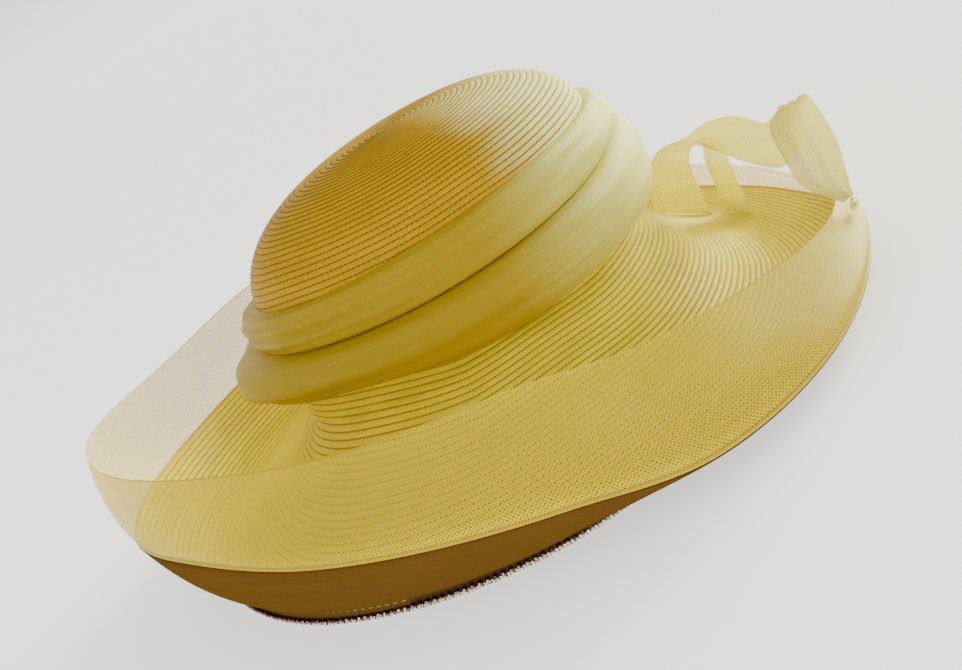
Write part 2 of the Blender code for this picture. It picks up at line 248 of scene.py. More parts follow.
def offset(profile, wall):
    """The profile moved sideways by the wall, to the right of its direction of travel."""
    moved = []
    last = len(profile) - 1
    for i, (r, z) in enumerate(profile):
        before, after = profile[max(i - 1, 0)], profile[min(i + 1, last)]
        dr, dz = after[0] - before[0], after[1] - before[1]
        length = math.hypot(dr, dz)
        moved.append((r + dz / length * wall, z - dr / length * wall))
    return moved


def head_height(azimuth):
    return section_values(BRIM_SECTIONS, math.degrees(azimuth) % 360)[0] * HEAD_RING_HEIGHT


@functools.lru_cache(maxsize=None)
def crown_profile(azimuth):
    """From the crown's foot up its wall and over the dome to the top."""
    radius = crown_radius(azimuth)
    line = [(radius, head_height(azimuth)), (radius, SHOULDER_HEIGHT)]
    for i in range(1, DOME_STEPS + 1):
        angle = i / DOME_STEPS * math.pi / 2
        line.append((radius * max(math.cos(angle), 0) ** DOME_SQUARENESS,
                     SHOULDER_HEIGHT + DOME_RISE * math.sin(angle)))
    return line


@functools.lru_cache(maxsize=None)
def brim_profile(azimuth):
    """From the collar round the crown down the bell, round the valley and up to the rim."""
    head, turn, out, up, _, _ = section_values(BRIM_SECTIONS, math.degrees(azimuth) % 360)
    collar = crown_radius(azimuth) + SEAT_GAP + STRAW_WALL
    head_z = head * HEAD_RING_HEIGHT
    floor_z = STONE_SIZE + SEAT_GAP + STRAW_WALL
    turn_r = turn * TURN_RADIUS
    rim = (turn_r + out * RIM_REACH, floor_z + up * RIM_RISE)
    run = turn_r - collar
    fall = head_z - floor_z
    cone = bezier((collar, head_z), (collar + 0.18 * run, head_z - 0.30 * fall),
                  (collar + 0.62 * run, floor_z + 0.02 * fall), (turn_r, floor_z), CONE_STEPS)
    wide = rim[0] - turn_r
    tall = rim[1] - floor_z
    wall = bezier((turn_r, floor_z), (turn_r + 0.45 * wide, floor_z + 0.02 * tall),
                  (turn_r + 0.80 * wide, floor_z + 0.45 * tall), rim, WALL_STEPS)
    foot = section_values(DRAPE_SECTIONS, math.degrees(azimuth) % 360)[2] * DRAPE_HEIGHT
    collar_top = max(head_z + COLLAR_HEIGHT, HEAD_RING_HEIGHT + foot + COLLAR_TUCK)
    return [(collar, collar_top)] + cone + wall[1:]


@functools.lru_cache(maxsize=None)
def flange_profile(azimuth):
    """The sheer's inner face, from the rim to its free edge."""
    _, _, _, _, lean, rise = section_values(BRIM_SECTIONS, math.degrees(azimuth) % 360)
    rim_r, rim_z = brim_profile(azimuth)[-1]
    edge = (rim_r - lean * FLANGE_WIDTH, rim_z + rise * FLANGE_WIDTH)
    start = (rim_r + SEAT_GAP, rim_z + SEAT_GAP)
    bulge = 0.10 * FLANGE_WIDTH
    return bezier(start, (start[0] + bulge, start[1] + 0.25 * (edge[1] - start[1])),
                  (edge[0] + bulge, edge[1] - 0.35 * (edge[1] - start[1])), edge, FLANGE_STEPS)


def puff_profile(foot, top, reach):
    """From a puff's foot to its top, with its middle out at the reach."""
    tall = top[1] - foot[1]
    pull = (reach - 0.125 * (foot[0] + top[0])) / 0.75
    return bezier(foot, (pull, foot[1] - 0.02 * tall), (pull, top[1] - 0.12 * tall), top,
                  PUFF_STEPS)


@functools.lru_cache(maxsize=None)
def drape_profiles(azimuth):
    """The lower and the upper puff of the wound drape, each from its foot to its top."""
    top, fold, foot, upper, lower = section_values(DRAPE_SECTIONS, math.degrees(azimuth) % 360)
    top_z, fold_z, foot_z = (HEAD_RING_HEIGHT + share * DRAPE_HEIGHT for share in (top, fold, foot))
    wall = crown_radius(azimuth)
    fold_r = wall + FOLD_SHARE * upper * DRAPE_BULGE
    return (puff_profile((wall + STRAW_WALL + 2 * SEAT_GAP, foot_z), (fold_r, fold_z),
                         wall + lower * DRAPE_BULGE),
            puff_profile((fold_r, fold_z + SEAT_GAP), (wall + SEAT_GAP, top_z),
                         wall + upper * DRAPE_BULGE))


def along(line, share):
    """The point at a share of the line's length, and the direction to the right of travel there."""
    lengths = [math.dist(a, b) for a, b in zip(line, line[1:])]
    wanted = min(max(share, 0), 1) * sum(lengths)
    for i, length in enumerate(lengths):
        if wanted <= length or i == len(lengths) - 1:
            t = wanted / length if length else 0
            a, b = line[i], line[i + 1]
            return (a[0] + (b[0] - a[0]) * t, a[1] + (b[1] - a[1]) * t,
                    (b[1] - a[1]) / length, -(b[0] - a[0]) / length)
        wanted -= length


def upright(radius, azimuth, height):
    """A point at a radius and height, moved towards +X as the leaning crown's axis is."""
    return Vector((radius * math.cos(azimuth) + height * math.tan(HAT_LEAN),
                   radius * math.sin(azimuth), height))


def middle_of_outline():
    """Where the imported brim's middle lies, from the middle that its own section gives."""
    rims = []
    for i in range(60):
        azimuth = FULL_TURN * i / 60
        for r, z in [brim_profile(azimuth)[-1], offset(brim_profile(azimuth), STRAW_WALL)[-1]]:
            rims.append(upright(r, azimuth, z))
    low, high = (Vector(corner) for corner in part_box("brim"))
    own = Vector([(min(p[n] for p in rims) + max(p[n] for p in rims)) / 2 for n in range(3)])
    return Vector(((low.x + high.x) / 2 - own.x, (low.y + high.y) / 2 - own.y, 0))


HAT_SHIFT = middle_of_outline()


def place(radius, azimuth, height):
    return upright(radius, azimuth, height) + HAT_SHIFT


# Shader maths, written as expressions on sockets

class Wire:
    """One output socket, on which ordinary sums add Math nodes."""

    def __init__(self, tree, socket):
        self.tree = tree
        self.socket = socket

    def node(self, kind, settings=None, sockets=None, output=0):
        made = self.tree.nodes.new(kind)
        for name, value in (settings or {}).items():
            setattr(made, name, value)
        for name, value in (sockets or {}).items():
            if isinstance(value, Wire):
                self.tree.links.new(value.socket, made.inputs[name])
            else:
                made.inputs[name].default_value = value
        return Wire(self.tree, made.outputs[output])

    def maths(self, operation, *values):
        sockets = {i: value for i, value in enumerate(values)}
        return self.node("ShaderNodeMath", {"operation": operation}, sockets)

    def __add__(self, other):
        return self.maths("ADD", self, other)

    def __radd__(self, other):
        return self.maths("ADD", other, self)

    def __sub__(self, other):
        return self.maths("SUBTRACT", self, other)

    def __rsub__(self, other):
        return self.maths("SUBTRACT", other, self)

    def __mul__(self, other):
        return self.maths("MULTIPLY", self, other)

    def __rmul__(self, other):
        return self.maths("MULTIPLY", other, self)

    def part(self):
        """What is left after the whole turns are taken off."""
        return self.maths("FRACT", self)

    def hill(self):
        """0 at whole numbers, 1 half-way between them."""
        return 1 - 2 * self.maths("ABSOLUTE", self.part() - 0.5)

    def power(self, exponent):
        return self.maths("POWER", self, exponent)

    def over(self, other):
        return self.maths("MAXIMUM", self, other)

    def between(self, low, high):
        """0 below low, 1 above high, and a soft step in between."""
        return self.node("ShaderNodeMapRange", {"interpolation_type": "SMOOTHSTEP"},
                         {"Value": self, "From Min": low, "From Max": high})

    def colours(self, first, second):
        """The first colour where this is 0, the second where it is 1."""
        made = self.tree.nodes.new("ShaderNodeMix")
        made.data_type = "RGBA"
        self.tree.links.new(self.socket, made.inputs["Factor"])
        for socket, colour in ((made.inputs[6], first), (made.inputs[7], second)):
            if isinstance(colour, Wire):
                self.tree.links.new(colour.socket, socket)
            else:
                socket.default_value = (*colour, 1)
        return Wire(self.tree, made.outputs[2])


class Finish:
    """A material under a name, with its Principled shader and the cloth's own directions."""

    def __init__(self, name, **constants):
        self.material = bpy.data.materials.new(name)
        self.material.use_nodes = True
        self.tree = self.material.node_tree
        self.shader = self.tree.nodes["Principled BSDF"]
        for socket, value in constants.items():
            self.shader.inputs[socket.replace("_", " ")].default_value = value
        self.start = Wire(self.tree, None)
        cloth = self.start.node("ShaderNodeUVMap")
        split = cloth.node("ShaderNodeSeparateXYZ", sockets={"Vector": cloth})
        self.round = split
        self.across = Wire(self.tree, split.socket.node.outputs[1])
        self.object = self.start.node("ShaderNodeTexCoord", output=3)

    def noise(self, scale, detail=2.0, vector=None):
        return self.start.node("ShaderNodeTexNoise", {}, {
            "Vector": vector or self.object, "Scale": scale, "Detail": detail})

    def stretched_noise(self, round_scale, across_scale, detail=2.0):
        """Noise in the cloth's own directions, such as streaks along its threads."""
        vector = self.start.node("ShaderNodeCombineXYZ", sockets={
            "X": self.round * round_scale, "Y": self.across * across_scale})
        return self.noise(1.0, detail, vector)

    def bump(self, height, distance, strength=1.0):
        return self.start.node("ShaderNodeBump", sockets={
            "Height": height, "Distance": distance, "Strength": strength})

    def feed(self, **sockets):
        for name, wire in sockets.items():
            self.tree.links.new(wire.socket, self.shader.inputs[name.replace("_", " ")])
        return self.material


# The finishes. Round the hat the cloth is measured in stitches or millimetres, across it in rows.

GOLDEN_GLEAM = (1.0, 0.94, 0.42, 1)


def braid_finish(name, light, deep, gleam, painted_highlight=None):
    """Sewn straw braid: a plait in each row, its crests lightened partly as painted highlight, a
    dark join between rows deepened partly as painted shade, and a line of stitches.

    The last argument is a painted highlight: the colour that the crown's braid fades to on its side
    towards the window.
    """
    made = Finish(name, Specular_Tint=GOLDEN_GLEAM, Specular_IOR_Level=gleam)
    row = made.across.part()
    middle = row.maths("ABSOLUTE", row - 0.5) * 2
    plait = (made.round + middle * 0.8).hill()
    seam_and_shade = middle.between(0.60, 0.94)
    knots = (made.round * 0.5 + 0.5).hill().power(3.0) * middle.between(0.45, 0.75)
    tint = made.stretched_noise(0.04, 0.30)
    fleck = made.stretched_noise(0.9, 2.2, 1.0)
    colour = tint.between(0.3, 0.7).colours(light, tuple(0.80 * part for part in light))
    # Plait crests are lightened: partly the plait's own pattern and partly a painted highlight; the
    # flecks are random tone.
    colour = (plait * 0.30 + fleck.between(0.45, 0.75) * 0.35).colours(colour, tuple(
        min(1.45 * part + 0.01, 1) for part in light))
    # Painted highlight: the crown's braid turns paler on its side towards the window, fading out
    # towards the top.
    if painted_highlight:
        angle = made.round * (FULL_TURN / CROWN_STITCHES) + PAINTED_HIGHLIGHT_TURN
        side = angle.maths("COSINE", angle)
        shoulder = made.across.between(CROWN_ROWS, CROWN_ROWS * 0.55)
        colour = ((side + tint * 0.3).between(0.80, 1.20) * shoulder * 0.9).colours(colour, painted_highlight)
    # The dark line between rows is partly the braid's own join and partly painted shade in the
    # valley between rows.
    colour = (seam_and_shade * 0.92).colours(colour, deep)
    colour = (knots * 0.25).colours(colour, tuple(min(1.5 * part + 0.03, 1) for part in light))
    height = plait * 0.5 + knots * 0.25 + (1 - middle * middle) * 0.4
    return made.feed(Base_Color=colour, Roughness=0.30 + fleck * 0.2,
                     Normal=made.bump(height, 0.45 * MM, 0.8))


def sheer_finish(name, light, deep, cover, pitch, gleam=0.35, glow=0.6, painted_highlight=None):
    """Open crin cloth: two sets of slanting threads with light between and through them.

    cover is how much the gaps and the threads hide. The last argument is a painted highlight, the
    colour the cloth fades to on its side round azimuth 0, towards the window.
    """
    made = Finish(name, Roughness=0.42, Specular_Tint=GOLDEN_GLEAM, Specular_IOR_Level=gleam,
                  Subsurface_Weight=glow, Subsurface_Scale=3 * MM,
                  Subsurface_Radius=(1.0, 0.8, 0.15))
    scale = MM / pitch
    first = ((made.round + made.across) * scale).hill()
    second = ((made.round - made.across) * scale).hill()
    threads = first.over(second).between(0.60, 0.90)
    streaks = made.stretched_noise(0.02, 0.5)
    thin, full = cover
    selvage = 1 - made.across.between(0.8, 1.4)
    opaque = (thin + threads * (full - thin) + (streaks - 0.5) * 0.12).over(selvage * 0.6)
    colour = (threads * 0.7 + streaks * 0.3).colours(deep, light)
    # Painted highlight: the cloth turns paler on its side round azimuth 0, towards the window.
    if painted_highlight:
        angle = made.round * (FULL_TURN / DRAPE_LENGTH * MM)
        side = angle.maths("COSINE", angle)
        colour = (side + streaks * 0.3).between(0.25, 1.10).colours(colour, painted_highlight)
    return made.feed(Base_Color=colour, Alpha=opaque,
                     Normal=made.bump(first + second, 0.12 * MM, 0.6))


def piping_finish():
    made = Finish("piping_crin", Roughness=0.5, Specular_Tint=GOLDEN_GLEAM)
    ribs = (made.round * 0.8 + made.across * 0.4).hill()
    return made.feed(Base_Color=ribs.colours((0.42, 0.27, 0.012), (0.66, 0.46, 0.025)))


def stone_finish():
    made = Finish("cut_stone", Metallic=0.55, Roughness=0.06, Coat_Weight=0.6)
    # The pale pinkish patches in the stones' dark brown are painted glints.
    tint = made.noise(900.0, 0.0)
    colour = tint.between(0.4, 0.6).colours((0.85, 0.70, 0.58), (0.14, 0.08, 0.06))
    return made.feed(Base_Color=colour)


def cup_finish():
    made = Finish("stone_cup", Metallic=1.0, Roughness=0.22)
    tint = made.noise(400.0, 2.0)
    colour = tint.between(0.35, 0.65).colours((0.26, 0.14, 0.05), (0.08, 0.04, 0.015))
    return made.feed(Base_Color=colour)


def thread_finish():
    made = Finish("stitch_thread", Roughness=0.5)
    twist = made.noise(1500.0, 1.0)
    colour = twist.between(0.3, 0.7).colours((0.62, 0.42, 0.06), (0.40, 0.24, 0.03))
    return made.feed(Base_Color=colour, Normal=made.bump(twist, 0.1 * MM))


def floor_finish():
    made = Finish("studio_floor", Roughness=0.95, Specular_IOR_Level=0.1,
                  Emission_Color=(1.0, 1.0, 0.98, 1), Emission_Strength=0.9)
    cloud = made.noise(3.0, 2.0)
    return made.feed(Base_Color=cloud.colours((0.93, 0.93, 0.925), (0.95, 0.95, 0.945)))


# The crown's braid carries a painted highlight on its side towards the window.
BRAID = braid_finish("crown_braid", (0.50, 0.285, 0.004), (0.14, 0.065, 0.001), 0.02,
                     painted_highlight=(1.0, 0.95, 0.34))
# The brim's braid is the crown's straw given a lighter colour as painted light on its upward-facing
# slope.
BRIM_BRAID = braid_finish("brim_braid", (0.92, 0.68, 0.004), (0.27, 0.155, 0.001), 0.12)
CRIN = sheer_finish("sheer_crin", (0.90, 0.66, 0.015), (0.42, 0.27, 0.008),
                    cover=(0.08, 0.90), pitch=1.9 * MM)
# The drape's crin carries a painted highlight on its side towards the window.
DRAPE_CRIN = sheer_finish("drape_crin", (0.66, 0.45, 0.012), (0.46, 0.29, 0.005),
                          cover=(0.46, 0.80), pitch=0.8 * MM, painted_highlight=(1.0, 0.93, 0.20))
RIBBON_CRIN = sheer_finish("ribbon_crin", (1.0, 0.93, 0.26), (0.50, 0.40, 0.05),
                           cover=(0.50, 1.0), pitch=1.4 * MM)
# The facing's dark brown is painted shade, where the sheer turns down under the rim and faces the
# floor.
SHADED_FACING = sheer_finish("facing_crin_painted_shade", (0.165, 0.088, 0.016), (0.095, 0.046, 0.007),
                      cover=(0.9, 1.0), pitch=0.7 * MM, gleam=0.0, glow=0.0)
PIPING = piping_finish()


# Making cloth: a grid for each ring or strip, merged where it closes, given its wall, and dressed

def only(piece):
    bpy.ops.object.select_all(action="DESELECT")
    piece.select_set(True)
    bpy.context.view_layer.objects.active = piece


def edit(piece, *steps):
    """Run edit-mode operators on all of the piece's mesh."""
    only(piece)
    bpy.ops.object.mode_set(mode="EDIT")
    bpy.ops.mesh.select_all(action="SELECT")
    for step in steps:
        step()
    bpy.ops.object.mode_set(mode="OBJECT")


def apply_modifier(piece, kind, **settings):
    only(piece)
    added = piece.modifiers.new(kind.lower(), kind)
    for name, value in settings.items():
        setattr(added, name, value)
    bpy.ops.object.modifier_apply(modifier=added.name)


def laid_grid(name, grid, point, measure):
    """A grid whose crossings point(u, v) places, with u along it and v across it.

    measure is how far the weave runs along and across the whole piece, in the finish's units.
    """
    bpy.ops.object.select_all(action="DESELECT")
    bpy.ops.mesh.primitive_grid_add(x_subdivisions=grid[0], y_subdivisions=grid[1], size=1)
    piece = bpy.context.object
    piece.name = piece.data.name = name
    for corner in piece.data.uv_layers.active.data:
        corner.uv = (corner.uv[0] * measure[0], corner.uv[1] * measure[1])
    for vertex in piece.data.vertices:
        vertex.co = point(round(vertex.co.x + 0.5, 6), round(vertex.co.y + 0.5, 6))
    edit(piece, lambda: bpy.ops.mesh.remove_doubles(threshold=MERGE_DISTANCE))
    return piece


def smoothed(piece, finish):
    only(piece)
    bpy.ops.object.shade_smooth()
    piece.data.materials.append(finish)
    return piece


def cloth(name, grid, point, measure, wall, finish, sideways=-1.0):
    """A laid grid with a wall to one side of it, or on both where sideways is 0."""
    piece = laid_grid(name, grid, point, measure)
    apply_modifier(piece, "SOLIDIFY", thickness=wall, offset=sideways)
    return smoothed(piece, finish)


def dress(piece, slot, *nodes):
    """The piece rides on the hat and stands for the nodes, which are hidden. slot is not used."""
    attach(piece, "root")
    if nodes:
        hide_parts(*nodes)
    return piece


# Sewn braid: each row stands up like a shingle from the seam below it

def shingle(rows_in):
    """How far the braid stands off at a number of rows, whole at the seams."""
    phase = rows_in % 1
    return BRAID_RISE * math.sin(math.pi * phase ** 0.6)


def crown_piece():
    def point(u, v):
        azimuth = FULL_TURN * (u % 1)
        r, z, out_r, out_z = along(crown_profile(azimuth), v)
        rise = shingle(v * CROWN_ROWS) * min(1, (1 - v) * 40)
        return place(r + out_r * rise, azimuth, z + out_z * rise) if v < 1 else place(0, 0, z)

    piece = cloth("crown_braid_rows", CROWN_GRID, point, (CROWN_STITCHES, CROWN_ROWS),
                  BRAID_THICKNESS, BRAID)
    return dress(piece, "braid", "crown")


def brim_piece():
    def point(u, v):
        azimuth = FULL_TURN * (u % 1)
        r, z, out_r, out_z = along(brim_profile(azimuth), 1 - v)
        rise = -shingle(v * BRIM_ROWS)
        return place(r + out_r * rise, azimuth, z + out_z * rise)

    piece = cloth("brim_braid_rows", BRIM_GRID, point, (BRIM_STITCHES, BRIM_ROWS),
                  BRAID_THICKNESS, BRIM_BRAID)
    return dress(piece, "braid", "brim")


# Sheer cloth: the flange with the facing that it makes down the outside of the brim, its piped
# rim, and the two puffs of the drape

def chain_radius(azimuth):
    """The stones lie further out where the wall above them is steep."""
    _, turn, _, up, _, _ = section_values(BRIM_SECTIONS, math.degrees(azimuth) % 360)
    return turn * TURN_RADIUS + CHAIN_OUT + max(up, 0) * RIM_RISE * CHAIN_OUT_PER_RISE


@functools.lru_cache(maxsize=None)
def facing_profile(azimuth):
    """Down the outside of the brim, from the rim to behind the stones."""
    line = offset(brim_profile(azimuth), FACING_OFFSET)
    behind = chain_radius(azimuth) - STONE_SIZE / 2
    return [(r, z) for r, z in line[::-1] if r > behind] + [(behind, SKIRT_FOOT)]


def flange_piece():
    def point(u, v):
        azimuth = FULL_TURN * (u % 1)
        r, z, _, _ = along(flange_profile(azimuth), 1 - v)
        return place(r, azimuth, z)

    length = FULL_TURN * (TURN_RADIUS + 0.7 * RIM_REACH)
    piece = cloth("flange_crin", FLANGE_GRID, point, (length / MM, FLANGE_WIDTH / MM),
                  CLOTH_THICKNESS, CRIN)
    return dress(piece, "sheer", "brim_flange")


def facing_piece():
    def point(u, v):
        azimuth = FULL_TURN * (u % 1)
        r, z, _, _ = along(facing_profile(azimuth), v)
        return place(r, azimuth, z)

    length = FULL_TURN * (TURN_RADIUS + 0.5 * RIM_REACH)
    piece = cloth("brim_facing", FACING_GRID, point, (length / MM, FACING_WEAVE),
                  CLOTH_THICKNESS, SHADED_FACING)
    return dress(piece, "sheer")


def piping_piece():
    """The rolled edge where the sheer folds over the rim: a thin tube round it."""
    def point(u, v):
        azimuth = FULL_TURN * (u % 1)
        r, z = brim_profile(azimuth)[-1]
        angle = FULL_TURN * (v % 1)
        r += PIPING_RADIUS * (0.5 + math.sin(angle))
        return place(r, azimuth, z + PIPING_RADIUS * (math.cos(angle) - 0.1))

    piece = laid_grid("rim_piping", PIPING_GRID, point, PIPING_WEAVE)
    edit(piece, lambda: bpy.ops.mesh.normals_make_consistent(inside=False))
    return dress(smoothed(piece, PIPING), "sheer")


def puff_folds(azimuth, v, which):
    """Soft folds of the wound cloth, in metres: long pleats that drift round the crown."""
    drift = 0.35 * math.sin(azimuth - 0.6) + 0.15 * math.sin(3 * azimuth)
    pleat = math.cos(FULL_TURN * (1.5 * v + drift)) * math.sin(math.pi * v) ** 0.7
    ripple = math.cos(FULL_TURN * (4 * v + 2 * drift)) * math.sin(math.pi * v)
    gathered = 0.5 + 0.5 * math.cos(azimuth - math.radians(GATHERED_AT[which]))
    lap = (azimuth - math.radians(LAP_AT - LAP_SLANT * v)) % FULL_TURN
    layer = LAP_DEPTHS[which] * min(1, lap / LAP_EDGE) * max(0, 1 - lap / LAP_FADE)
    return (PLEAT_DEPTH * pleat + (RIPPLE_DEPTH + GATHER_DEPTH * gathered ** 3) * ripple
            - layer * math.sin(math.pi * v) ** 0.5) * MM


def drape_piece(name, which, node):
    def point(u, v):
        azimuth = FULL_TURN * (u % 1)
        r, z, out_r, out_z = along(drape_profiles(azimuth)[which], v)
        fold = puff_folds(azimuth, v, which)
        return place(r + out_r * fold, azimuth, z + out_z * fold)

    width = PUFF_WIDTHS[which]
    piece = cloth(name, PUFF_GRID, point, (DRAPE_LENGTH / MM, width / MM),
                  CLOTH_THICKNESS, DRAPE_CRIN)
    return dress(piece, "sheer", node)


# The bow

def knot_centre():
    azimuth = math.radians(KNOT_AZIMUTH)
    line = offset(flange_profile(azimuth), SHEER_WALL + 2 * SEAT_GAP + KNOT_THICKNESS / 2)
    r, z, _, _ = along(line, KNOT_UP_FLANGE)
    return place(r, azimuth, z)


def brim_top(x, y):
    """The height of the brim's upper face above a point of the floor."""
    z = 0
    for _ in range(3):
        px = x - HAT_SHIFT.x - z * math.tan(HAT_LEAN)
        py = y - HAT_SHIFT.y
        azimuth = round(math.atan2(py, px) % FULL_TURN, 3)
        r = math.hypot(px, py)
        line = brim_profile(azimuth)[1:]
        for low, high in zip(line, line[1:]):
            if low[0] <= r <= high[0]:
                z = low[1] + (high[1] - low[1]) * (r - low[0]) / (high[0] - low[0])
    return z


def bend_at(bends, share):
    """The row of the table at a share of the way along it, on a smooth curve."""
    last = len(bends) - 1
    i = min(int(share * last), last - 1)
    t = share * last - i
    rows = bends[max(i - 1, 0)], bends[i], bends[i + 1], bends[min(i + 2, last)]
    return [smooth(a, b, c, d, 1, 1, 1, t) for a, b, c, d in zip(*rows)]


def ribbon_piece(name, bends, node, length, gathers):
    """A ribbon through its bends, with gathers, in millimetres, that die away from the knot."""
    knot = knot_centre()

    @functools.lru_cache(maxsize=None)
    def edges(share):
        x1, y1, z1, x2, y2, z2, swell = bend_at(bends, share)
        pair = [knot + Vector(corner) * RIBBON_WIDTH for corner in ((x1, y1, z1), (x2, y2, z2))]
        for corner in pair:
            corner.z = max(corner.z, brim_top(corner.x, corner.y) + 2 * SEAT_GAP)
        return pair[0], pair[1], swell

    def point(u, v):
        first, second, swell = edges(u)
        before, after = edges(max(u - RIBBON_STEP, 0)), edges(min(u + RIBBON_STEP, 1))
        along_it = (after[0] + after[1] - before[0] - before[1]).normalized()
        across = second - first
        normal = along_it.cross(across).normalized()
        crown = 1 - (2 * v - 1) ** 2
        pleats = math.cos(FULL_TURN * 3 * v) * gathers * math.exp(-4 * u) * MM
        return first + across * v + normal * (swell * across.length * crown + pleats)

    piece = cloth(name, (COLUMNS_PER_BEND * len(bends), RIBBON_ROWS), point,
                  (length / MM, RIBBON_WEAVE), CLOTH_THICKNESS, RIBBON_CRIN, sideways=0.0)
    return dress(piece, "ribbon", node)


def knot_piece():
    """A gathered knot with the ribbon's pleats running over it."""
    bpy.ops.object.select_all(action="DESELECT")
    bpy.ops.mesh.primitive_uv_sphere_add(segments=32, ring_count=20, radius=0.5)
    piece = bpy.context.object
    piece.name = piece.data.name = "bow_knot_wrap"
    turn = Matrix.Rotation(math.radians(KNOT_AZIMUTH), 4, "Z")
    size = Matrix.Diagonal((KNOT_THICKNESS * 0.92, KNOT_LENGTH * 0.95, KNOT_THICKNESS * 0.92, 1))
    for vertex in piece.data.vertices:
        angle = math.atan2(vertex.co.z, vertex.co.x)
        waist = 1 - 0.22 * math.exp(-(vertex.co.y / 0.18) ** 2)
        vertex.co *= waist * (1 + 0.07 * math.cos(9 * angle))
    piece.data.transform(Matrix.Translation(knot_centre()) @ turn @ size)
    return dress(smoothed(piece, RIBBON_CRIN), "ribbon", "bow_knot")


# The chain of stones under the valley of the brim, and the stitches above it

def stone_parts():
    """One cup with its four claws, and one cut stone, looking along +X at the origin."""
    half = STONE_SIZE / 2
    parts = []
    bpy.ops.object.select_all(action="DESELECT")
    bpy.ops.mesh.primitive_cone_add(
        vertices=10, radius1=half * 0.55, radius2=half * 0.92, depth=half,
        location=(-half * 0.3, 0, 0), rotation=(0, math.pi / 2, 0))
    parts.append(bpy.context.object)
    for i in range(4):
        angle = math.radians(45 + 90 * i)
        bpy.ops.mesh.primitive_cube_add(
            size=1, scale=(half * 0.8, half * 0.22, half * 0.22),
            location=(half * 0.35, half * 0.84 * math.cos(angle), half * 0.84 * math.sin(angle)))
        parts.append(bpy.context.object)
    bpy.ops.object.select_all(action="DESELECT")
    for part in parts:
        part.select_set(True)
    bpy.context.view_layer.objects.active = parts[0]
    bpy.ops.object.join()
    cup = bpy.context.object
    bpy.ops.object.transform_apply()
    bpy.ops.object.select_all(action="DESELECT")
    bpy.ops.mesh.primitive_uv_sphere_add(segments=8, ring_count=4, radius=half * 0.80)
    stone = bpy.context.object
    table = max(v.co.z for v in stone.data.vertices if math.hypot(v.co.x, v.co.y) > 0.1 * half)
    for vertex in stone.data.vertices:
        vertex.co.z = min(vertex.co.z, table) * (0.75 if vertex.co.z > 0 else 0.9)
    forward = Matrix.Translation((half * 0.32, 0, 0))
    stone.data.transform(forward @ Matrix.Rotation(math.pi / 2, 4, "Y"))
    return cup, stone


def repeated(model, name, places):
    """One mesh with a copy of the model at each place."""
    count = len(model.data.vertices)
    points = []
    faces = []
    for number, matrix in enumerate(places):
        points += [matrix @ vertex.co for vertex in model.data.vertices]
        faces += [[index + number * count for index in face.vertices]
                  for face in model.data.polygons]
    mesh = bpy.data.meshes.new(name)
    mesh.from_pydata(points, [], faces)
    piece = bpy.data.objects.new(name, mesh)
    bpy.context.scene.collection.objects.link(piece)
    bpy.data.objects.remove(model, do_unlink=True)
    return piece


def chain_places():
    places = []
    for i in range(STONE_COUNT):
        azimuth = FULL_TURN * i / STONE_COUNT
        radius = chain_radius(azimuth)
        wobble = math.radians(STONE_WOBBLE_DEGREES * math.sin(2.4 * i))
        aim = Matrix.Rotation(azimuth + wobble, 4, "Z") @ Matrix.Rotation(STONE_TILT, 4, "Y")
        places.append(Matrix.Translation(place(radius, azimuth, STONE_SIZE / 2)) @ aim)
    return places


def chain_pieces():
    cup, stone = stone_parts()
    cups = repeated(cup, "stone_cups", chain_places())
    cups.data.materials.append(cup_finish())
    stones = repeated(stone, "cut_stones", chain_places())
    stones.data.materials.append(stone_finish())
    dress(cups, "stones", "rhinestone_chain")
    dress(stones, "stones", "rhinestone_chain")


def stitch_piece():
    """The thread that holds the chain: a line of dashes above the stones, on the facing."""
    bpy.ops.object.select_all(action="DESELECT")
    bpy.ops.mesh.primitive_uv_sphere_add(segments=6, ring_count=6, radius=0.5)
    dash = bpy.context.object
    dash.data.transform(Matrix.Diagonal((*DASH_SIZE, 1)))
    places = []
    for i in range(DASH_COUNT):
        azimuth = FULL_TURN * i / DASH_COUNT
        line = facing_profile(azimuth)
        total = sum(math.dist(a, b) for a, b in zip(line, line[1:]))
        r, z, out_r, out_z = along(line, 1 - DASH_HEIGHT / total)
        spot = place(r - out_r * CLOTH_THICKNESS, azimuth, z - out_z * CLOTH_THICKNESS)
        places.append(Matrix.Translation(spot) @ Matrix.Rotation(azimuth, 4, "Z"))
    piece = repeated(dash, "chain_stitches", places)
    piece.data.materials.append(thread_finish())
    return dress(piece, "sheer")


# The studio: a pale floor, soft light, and the camera at the photograph's angle

EYE_DISTANCE = 650 * MM
EYE_RISE = math.radians(18)
EYE_ROLL = math.radians(26.8)
AIM_HEIGHT = 60 * MM
LEAN_PIVOT = Vector((16 * MM, 0, 1.3 * MM))
FOCAL_PIXELS = 1.88 * 650
FRAME_WIDTH = 962
FRAME_HEIGHT = 670
AIM_PIXEL = (433.8, 303.2)
SENSOR = 36
STAND_LIFT = 1 * MM
SKY_COLOUR = (1.0, 0.985, 0.96, 1)
SKY_LOW = 2.2
SKY_HIGH = 0.9
SKY_TURNS_AT = 0.16
FLOOR_RADIUS = 40
WINDOW_POWER = 9
WINDOW_ANGLE = math.radians(25)
WINDOW_COLOUR = (1.0, 1.0, 0.72)
WINDOW_AIM = Vector((-0.74, -0.64, -0.16))
FILL_PLACE = Vector((-0.5, -1.1, 0.9))
FILL_TARGET = Vector((0, 0, 0.05))
FILL_SIZE = 1.2
FILL_POWER = 4
FILL_COLOUR = (1.0, 0.97, 0.93)


